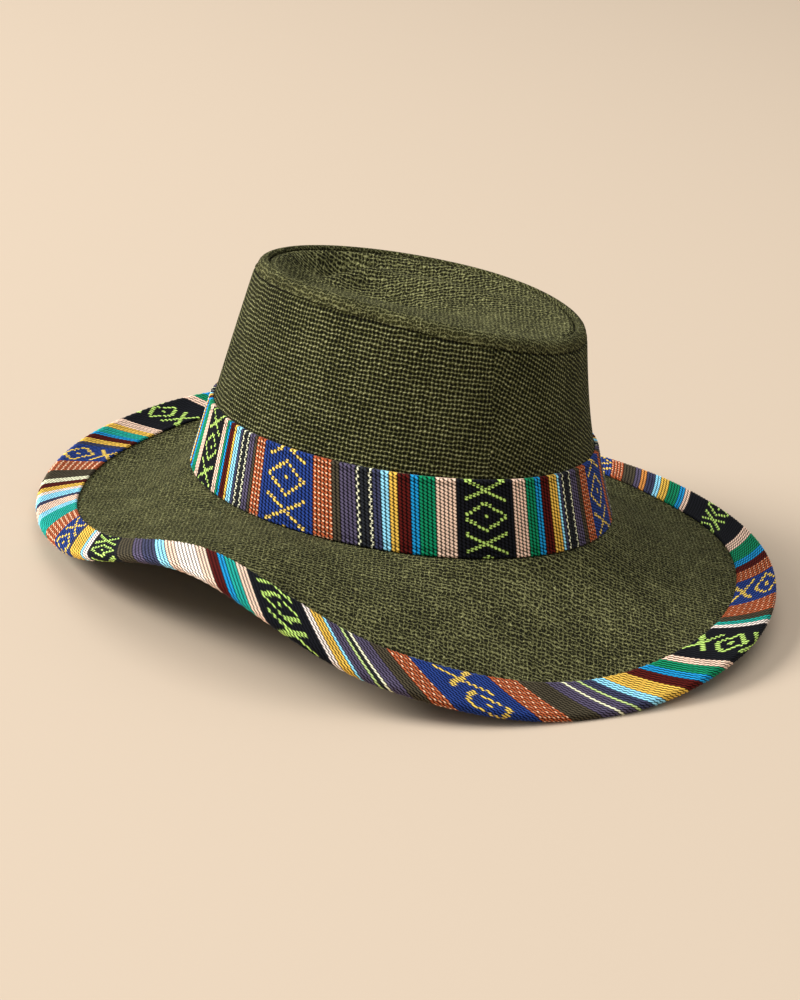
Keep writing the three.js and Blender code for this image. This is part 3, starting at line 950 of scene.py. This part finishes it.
def make_side():
    """The side: the wall's outer face with the topstitch's groove, which is e to the minus distance squared,
    then the rim's fold, then the inner face."""
    columns = RING_COLUMNS
    angle = np.arange(columns)[:, None] / columns * TURN
    height = around(CROWN_TABLE, "height", angle)
    share = np.concatenate([np.linspace(0, 0.94, 38), RIM_ROWS])[None, :]
    top = height - STITCH_DROP
    up = -BRIM_THICKNESS + share * (top + BRIM_THICKNESS)
    from_groove = top - up - GROOVE_DROP
    groove = -GROOVE_DEPTH * np.exp(-((from_groove / 0.7) ** 2))
    soft = unevenness(angle, up, 0.35, 11) * smooth((up - BAND_HEIGHT) / 15)
    wall = place(angle, wall_out(angle, up) + WALL_FACE + groove + soft, up)
    rim = wall_out(angle, height) + WALL_FACE
    fold = np.array(RIM_FOLD)
    fold_soft = unevenness(angle, 0, 0.12, 12)
    fold_points = place(angle, rim + fold[None, :, 0] + fold_soft, height + fold[None, :, 1])
    down = np.linspace(1, 0, 16)[None, :]
    inner_up = -BRIM_THICKNESS + down * (height - 4 + BRIM_THICKNESS)
    inner = place(angle, wall_out(angle, inner_up) + WALL_FACE - SIDE_THICKNESS, inner_up)
    points = np.concatenate([wall, fold_points, inner], axis=1)
    over_fold = np.concatenate([[0], np.cumsum(np.hypot(*np.diff(fold, axis=0).T))])
    sloped = np.concatenate([up, height + fold[0, 1] + over_fold[None, :], inner_up], axis=1)
    # The seam mark darkens the colour along the topstitch's groove: painted shade.
    seam = np.zeros(points.shape[:2])
    seam[:, : up.shape[1]] = np.exp(-((from_groove / 0.5) ** 2))
    section = np.arange(points.shape[1])
    on_rim = (section >= up.shape[1] - 1) & (section < up.shape[1] + len(fold))
    on_rim = np.broadcast_to(on_rim, points.shape[:2])
    angles = np.concatenate([angle, angle[:1] + TURN], axis=0)
    sloped = np.concatenate([sloped, sloped[:1]], axis=0)
    sloped = np.concatenate([sloped, sloped[:, :1]], axis=1)
    first, second = (ring_corners(panel_plan(angles, sloped, row)) for row in SIDE_PANELS)
    face_degrees = (np.arange(columns) + 0.5) / columns * 360
    on_first = (face_degrees > SIDE_PANELS[0]["seam"]) & (face_degrees < SIDE_PANELS[1]["seam"])
    uv = np.where(on_first[:, None, None, None], first, second)
    piece = build(
        "crown_side_cloth",
        points.reshape(-1, 3),
        ring_faces(columns, points.shape[1]).tolist(),
        "crown_side",
        [wall_hemp, rim_hemp],
        uv=uv,
        marks={"Seam": seam},
        second=on_rim,
    )
    # The length round the base oval.
    base = length_round(place(angle[:, 0], 0, 0))


# The top.
def tip_points(angle, share, drop):
    """The pressed top: from its edge just inside the rim it eases down to a sunk middle, and smooth oval
    mounds (e to the minus distance squared) make the hollows and the ridge."""
    height = around(CROWN_TABLE, "height", angle)
    edge_out = wall_out(angle, height) + WALL_FACE - RIM_THICKNESS + 0.5
    edge = place(angle, edge_out, 0)
    x = edge[..., 0] * share
    y = edge[..., 1] * share

    def blend(column):
        middle = np.mean([row[column] for row in CROWN_TABLE])
        return middle + (around(CROWN_TABLE, column, angle) - middle) * share

    sunk = 1 - smooth((share - TIP_FLAT_SHARE) / (1 - TIP_FLAT_SHARE))
    depth = blend("pressed")
    for dent in DENTS:
        turn = math.radians(dent["turn"])
        along = (y - dent["y"]) * math.cos(turn) - (x - dent["x"]) * math.sin(turn)
        across = (x - dent["x"]) * math.cos(turn) + (y - dent["y"]) * math.sin(turn)
        reach = (along / dent["half_length"]) ** 2 + (across / dent["half_width"]) ** 2
        depth = depth + dent["depth"] * np.exp(-reach)
    soft = 0.4 * np.sin(x / 9 + 1) * np.sin(y / 11 + x / 17) * sunk
    up = blend("height") - TIP_DROP - depth * sunk + soft - drop
    return np.stack([x, y, up], axis=-1)


def make_tip():
    """The top: rings of both faces from the middle out and back in, joined at the edge, with a fan of
    triangles at each middle. The edge dips into the seam by e to the minus distance squared."""
    columns = 540
    angle = np.arange(columns)[:, None] / columns * TURN
    # Finer rings near the seam.
    top_share = np.concatenate([np.arange(1, 51) / 53, np.linspace(0.95, 1, 14)])[None, :]
    low_share = (np.arange(24, 0, -1) / 24)[None, :]
    from_edge = (1 - top_share) * TIP_REACH
    edge_dip = SEAM_DIP * np.exp(-((from_edge / 1.6) ** 2))
    top = tip_points(angle, top_share, edge_dip)
    low = tip_points(angle, low_share, TIP_DEPTH)
    points = np.concatenate([top, low], axis=1)
    count = points.shape[1]
    i = np.arange(columns)[:, None]
    j = np.arange(count - 1)[None, :]
    here = i * count
    following = (i + 1) % columns * count
    quads = np.stack(
        np.broadcast_arrays(here + j, following + j, following + j + 1, here + j + 1), axis=-1
    ).reshape(-1, 4)
    middle = np.zeros(1)
    poles = np.concatenate([tip_points(middle, 0.0, 0.0), tip_points(middle, 0.0, TIP_DEPTH)])
    flat = np.concatenate([points.reshape(-1, 3), poles])
    top_pole, low_pole = len(flat) - 2, len(flat) - 1
    i = np.arange(columns)
    after = (i + 1) % columns
    top_fan = np.stack([np.full(columns, top_pole), after * count, i * count], axis=-1)
    last = count - 1
    low_fan = np.stack([np.full(columns, low_pole), i * count + last, after * count + last], axis=-1)
    faces = quads.tolist() + top_fan.tolist() + low_fan.tolist()
    order = np.concatenate([quads.ravel(), top_fan.ravel(), low_fan.ravel()])
    uv = turned_plan(flat[order])
    # The seam mark darkens the colour where the top's edge dips into the seam: painted shade.
    seam = np.zeros(len(flat))
    by_ring = seam[: columns * count].reshape(columns, count)
    by_ring[:, : top.shape[1]] = np.exp(-((from_edge / 1.1) ** 2))
    piece = build(
        "crown_tip_cloth",
        flat,
        faces,
        "crown_tip",
        [top_hemp],
        uv=uv,
        marks={"Seam": seam},
    )


make_band()
make_binding()
make_brim()
make_side()
make_tip()

# The floor and the light.
FLOOR_COLOUR = "#c6b49f"
FLOOR_REACH = 40
floor_mesh = bpy.data.meshes.new("floor")
floor_corners = [(x * FLOOR_REACH, y * FLOOR_REACH, 0) for x, y in ((-1, -1), (1, -1), (1, 1), (-1, 1))]
floor_mesh.from_pydata(floor_corners, [], [(0, 1, 2, 3)])
floor = bpy.data.objects.new("floor", floor_mesh)
bpy.context.scene.collection.objects.link(floor)
floor_material, floor_tree = new_material("Matt paper backdrop")
floor_shader = node(
    floor_tree,
    "ShaderNodeBsdfPrincipled",
    {"Base Color": linear(FLOOR_COLOUR), "Roughness": 1.0, "Specular IOR Level": 0.0},
)
node(floor_tree, "ShaderNodeOutputMaterial", None, {"Surface": floor_shader.outputs[0]})
floor_mesh.materials.append(floor_material)

# The camera, placed as the photograph was taken, in the hat's own frame.
CAMERA_LENS = 73.29
CAMERA_DISTANCE = 951.7
CAMERA_AZIMUTH = -60.3
CAMERA_ELEVATION = 17.75
CAMERA_ROLL = 5.44
CAMERA_ASIDE = 2.4
CAMERA_RAISED = -35.57
AIM_HEIGHT = 30

azimuth = math.radians(CAMERA_AZIMUTH)
elevation = math.radians(CAMERA_ELEVATION)
back = Vector(
    (
        math.sin(azimuth) * math.cos(elevation),
        -math.cos(azimuth) * math.cos(elevation),
        math.sin(elevation),
    )
)
right = Vector((math.cos(azimuth), math.sin(azimuth), 0))
upward = back.cross(right)
aim = Vector((0, 0, AIM_HEIGHT))
eye = aim + back * CAMERA_DISTANCE
target = aim + right * CAMERA_ASIDE + upward * CAMERA_RAISED
looking = (target - eye).normalized()
level_right = looking.cross(Vector((0, 0, 1))).normalized()
level_up = level_right.cross(looking)
roll = math.radians(CAMERA_ROLL)
camera_right = level_right * math.cos(roll) + level_up * math.sin(roll)
camera_up = -level_right * math.sin(roll) + level_up * math.cos(roll)
turned = to_rest @ Matrix([camera_right, camera_up, -looking]).transposed()
camera_data = bpy.data.cameras.new("camera")
camera_data.lens = CAMERA_LENS
camera_data.sensor_width = 36
camera = bpy.data.objects.new("camera", camera_data)
bpy.context.scene.collection.objects.link(camera)
camera.matrix_world = Matrix.Translation((to_rest @ eye + Vector(REST_PLACE)) * MM) @ turned.to_4x4()
bpy.context.scene.camera = camera


def soft_light(name, position, aim_at, size, power, colour):
    """A square soft light of that size in metres, turned to a point."""
    data = bpy.data.lights.new(name, "AREA")
    data.size = size
    data.energy = power
    data.color = linear(colour)[:3]
    light = bpy.data.objects.new(name, data)
    bpy.context.scene.collection.objects.link(light)
    light.location = position
    light.rotation_euler = (Vector(aim_at) - Vector(position)).to_track_quat("-Z", "Y").to_euler()


# Left and right are the camera's: its left is towards the wearer's back and right.
soft_light("key", (-2.64, 3.81, 3.24), (0, 0, 0.05), 2.2, 415, "#ffffff")
soft_light("overhead", (0, 0, 3.5), (0, 0, 0.05), 3, 50, "#ffffff")

world = bpy.data.worlds.new("studio")
bpy.context.scene.world = world
world.use_nodes = True
background = world.node_tree.nodes["Background"]
background.inputs["Color"].default_value = linear("#ffffff")
background.inputs["Strength"].default_value = 0.46
bpy.context.scene.view_settings.view_transform = "Standard"

bpy.context.view_layer.update()
